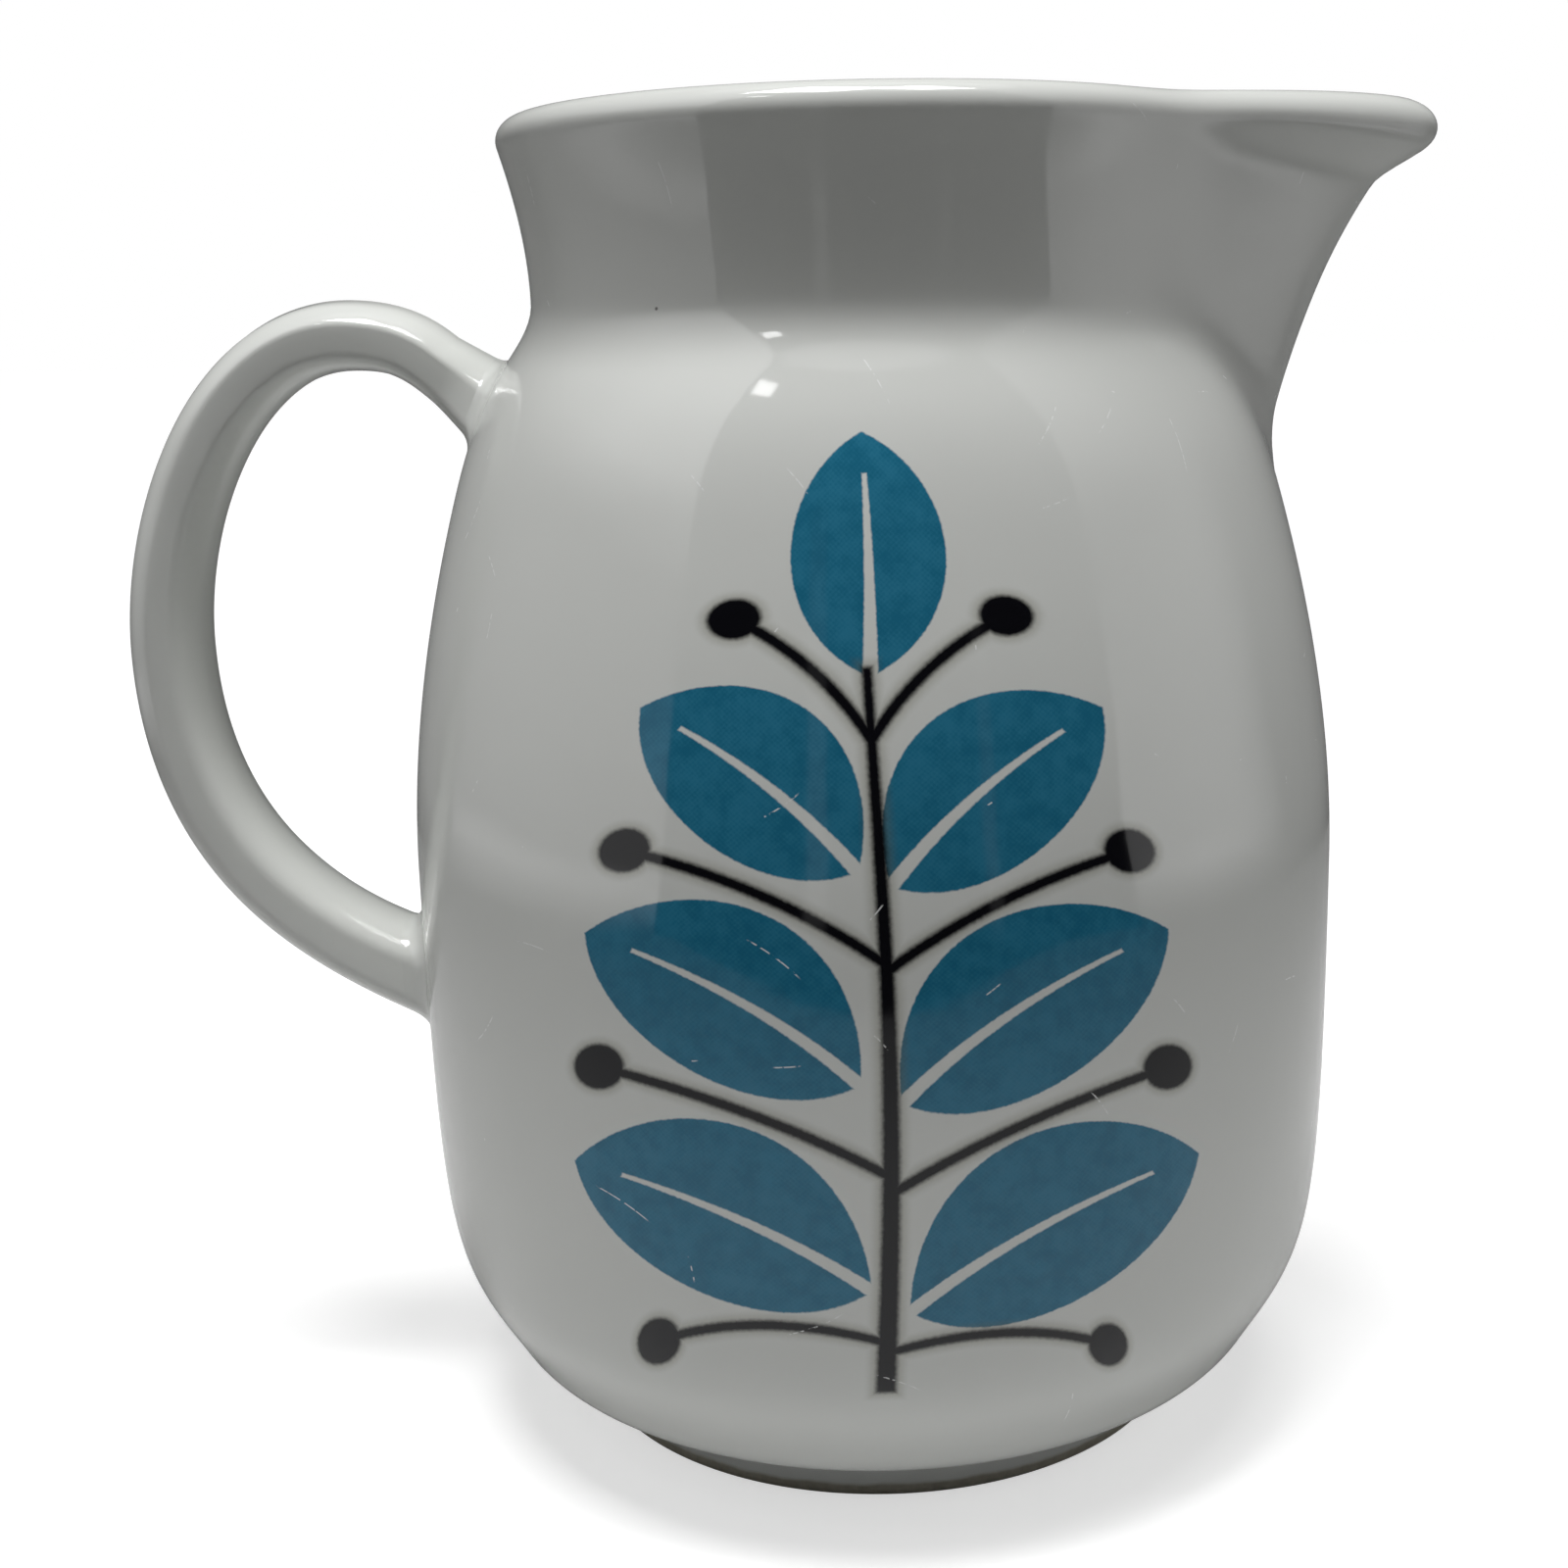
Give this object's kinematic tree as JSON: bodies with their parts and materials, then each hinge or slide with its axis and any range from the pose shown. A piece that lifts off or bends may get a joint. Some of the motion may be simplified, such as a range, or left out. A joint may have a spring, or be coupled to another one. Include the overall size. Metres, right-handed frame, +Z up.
{
  "type": "milk jug",
  "caption": "Glazed porcelain jug with a drawn-out pouring spout, a flared rim, a foot ring and a luted loop handle.",
  "frame": {"origin": "centre of the foot ring's resting face, on the axis of the jug's round body", "axes": "+Z up along the body's axis, +X out of the spout, -X out of the handle, Y across the jug"},
  "size_m": [0.1353, 0.0958, 0.134],
  "materials": {
    "glaze": "clear gloss glaze over white porcelain",
    "slip": "clear gloss glaze over luting slip"
  },
  "bodies": {
    "root": {"body": "glaze", "handle": "glaze", "upper_slip_seam": "slip", "lower_slip_seam": "slip"}
  },
  "joints": []
}
